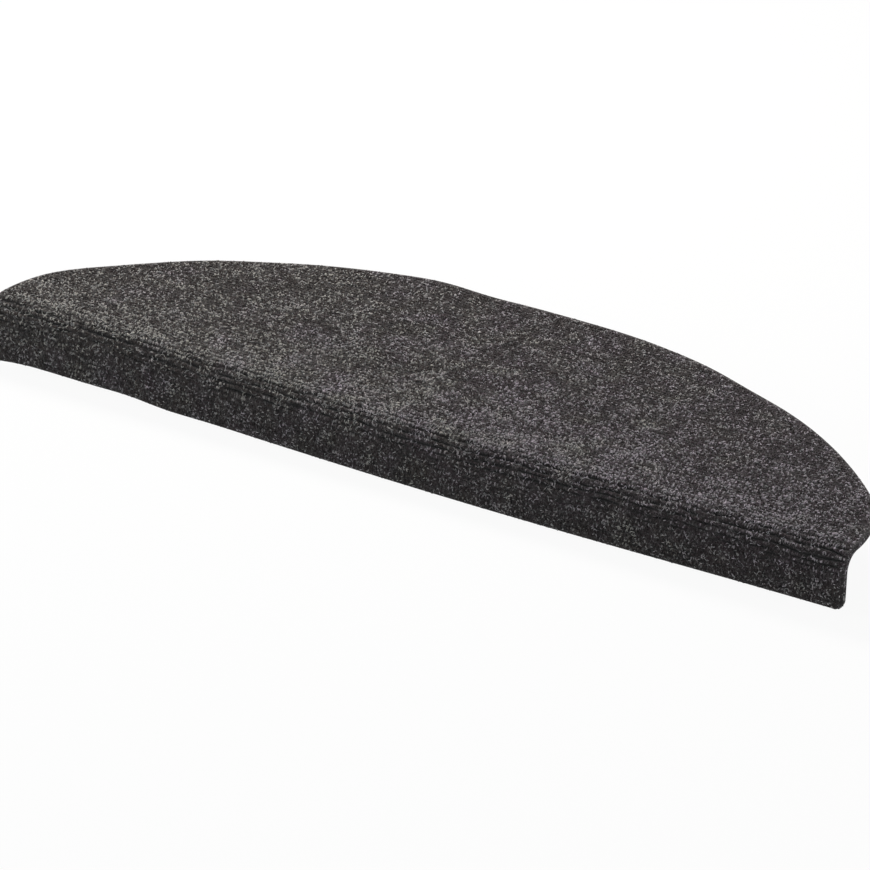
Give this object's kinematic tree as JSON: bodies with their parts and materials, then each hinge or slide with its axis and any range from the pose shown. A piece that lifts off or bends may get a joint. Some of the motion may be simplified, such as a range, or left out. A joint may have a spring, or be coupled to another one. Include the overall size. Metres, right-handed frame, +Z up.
{
  "type": "stair tread mat",
  "caption": "Half-round needle felt mat for one stair tread, with its front edge folded down over the nosing as a lip.",
  "frame": {"origin": "on the flat underside of the plate, half-way along the mat's width and depth", "axes": "+X along the step, +Y back towards the riser behind the tread, +Z up; the lip hangs down at the front, towards -Y"},
  "size_m": [0.65, 0.21, 0.04],
  "materials": {
    "needle_felt": "charcoal needle felt with light grey fibre flecks, matt"
  },
  "bodies": {
    "root": {"tread_mat": "needle_felt"}
  },
  "joints": []
}
